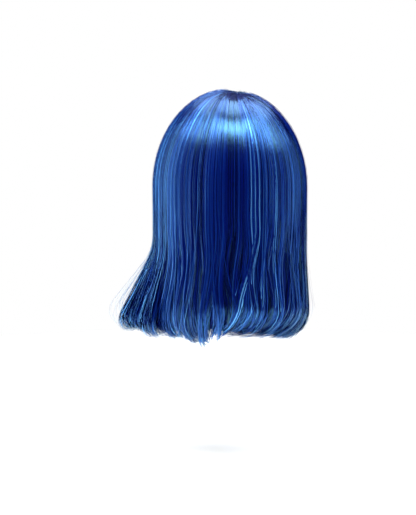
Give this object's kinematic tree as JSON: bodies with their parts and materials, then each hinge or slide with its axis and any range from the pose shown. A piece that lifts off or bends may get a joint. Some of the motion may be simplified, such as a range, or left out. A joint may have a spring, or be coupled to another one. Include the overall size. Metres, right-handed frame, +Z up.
{
  "type": "costume wig",
  "caption": "Straight shoulder-length costume wig: glossy synthetic fibre on a wefted net cap with fringe, ear tabs and hook-and-pocket size adjusters at the nape.",
  "frame": {"origin": "inside of the cap at the top of the head, where the wig bears on the wearer's head", "axes": "+Z up, -Y out of the face opening, +X towards the wearer's left"},
  "size_m": [0.2021, 0.2213, 0.2936],
  "materials": {
    "blue_fibre": "glossy straight synthetic fibre, royal blue",
    "velvet_band": "short-pile velvet ribbon, navy",
    "net": "open stretch net, navy",
    "tape": "woven ribbon, navy",
    "skin_patch": "pale coated fabric",
    "weft": "stitched fibre heads, dark blue",
    "elastic": "woven elastic, near black",
    "stay_plastic": "flexible strip",
    "wire": "nickel-plated wire"
  },
  "bodies": {
    "cap": {"front_band": "velvet_band", "nape_band": "velvet_band", "left_ear_tab": "velvet_band", "left_ear_binding": "velvet_band", "left_ear_stay": "stay_plastic", "left_back_tape": "tape", "left_pocket_tape": "tape", "right_ear_tab": "velvet_band", "right_ear_binding": "velvet_band", "right_ear_stay": "stay_plastic", "right_back_tape": "tape", "right_pocket_tape": "tape", "centre_back_tape": "tape", "crown_net": "net", "skin_top": "skin_patch", "weft_row_01": "weft", "weft_row_02": "weft", "weft_row_03": "weft", "weft_row_04": "weft", "weft_row_05": "weft", "weft_row_06": "weft", "weft_row_07": "weft", "weft_row_08": "weft", "weft_row_09": "weft", "weft_row_10": "weft", "crown_hair": "blue_fibre"},
    "fringe": {"fringe_hair": "blue_fibre"},
    "left_side": {"left_side_hair": "blue_fibre"},
    "right_side": {"right_side_hair": "blue_fibre"},
    "back": {"back_hair": "blue_fibre"},
    "left_adjuster": {"left_adjuster_strap": "elastic", "left_strap_loop": "elastic"},
    "left_hook_body": {"left_hook": "wire"},
    "right_adjuster": {"right_adjuster_strap": "elastic", "right_strap_loop": "elastic"},
    "right_hook_body": {"right_hook": "wire"}
  },
  "joints": [
    {"name": "fringe_lift", "type": "hinge", "parent": "cap", "child": "fringe", "pos_m": [0, -0.098, -0.058], "axis": [-1, 0, 0], "range_deg": [0, 40], "stiffness_Nm_per_rad": 0.004, "springref_deg": -20.05},
    {"name": "left_side_swing", "type": "hinge", "parent": "cap", "child": "left_side", "pos_m": [0.086, 0, -0.104], "axis": [0, -1, 0], "range_deg": [0, 35], "stiffness_Nm_per_rad": 0.03, "springref_deg": -22.92},
    {"name": "right_side_swing", "type": "hinge", "parent": "cap", "child": "right_side", "pos_m": [-0.086, 0, -0.104], "axis": [0, 1, 0], "range_deg": [0, 35], "stiffness_Nm_per_rad": 0.03, "springref_deg": -22.92},
    {"name": "back_swing", "type": "hinge", "parent": "cap", "child": "back", "pos_m": [0, 0.106, -0.104], "axis": [1, 0, 0], "range_deg": [0, 32], "stiffness_Nm_per_rad": 0.04, "springref_deg": -28.65},
    {"name": "left_adjuster_tighten", "type": "hinge", "parent": "cap", "child": "left_adjuster", "pos_m": [-0.0085, 0.0135, -0.152], "axis": [0, 0, 1], "range_deg": [0, 18], "deforming": ["left_adjuster_strap"]},
    {"name": "right_adjuster_tighten", "type": "hinge", "parent": "cap", "child": "right_adjuster", "pos_m": [0.0085, 0.0135, -0.152], "axis": [0, 0, -1], "range_deg": [0, 18], "deforming": ["right_adjuster_strap"]},
    {"name": "left_hook_lift", "type": "hinge", "parent": "left_adjuster", "child": "left_hook_body", "pos_m": [0.0333, 0.06701, -0.152], "axis": [0.2384, 0.3051, 0.922], "range_deg": [0, 60]},
    {"name": "right_hook_lift", "type": "hinge", "parent": "right_adjuster", "child": "right_hook_body", "pos_m": [-0.0333, 0.06701, -0.152], "axis": [0.2384, -0.3051, -0.922], "range_deg": [0, 60]}
  ]
}
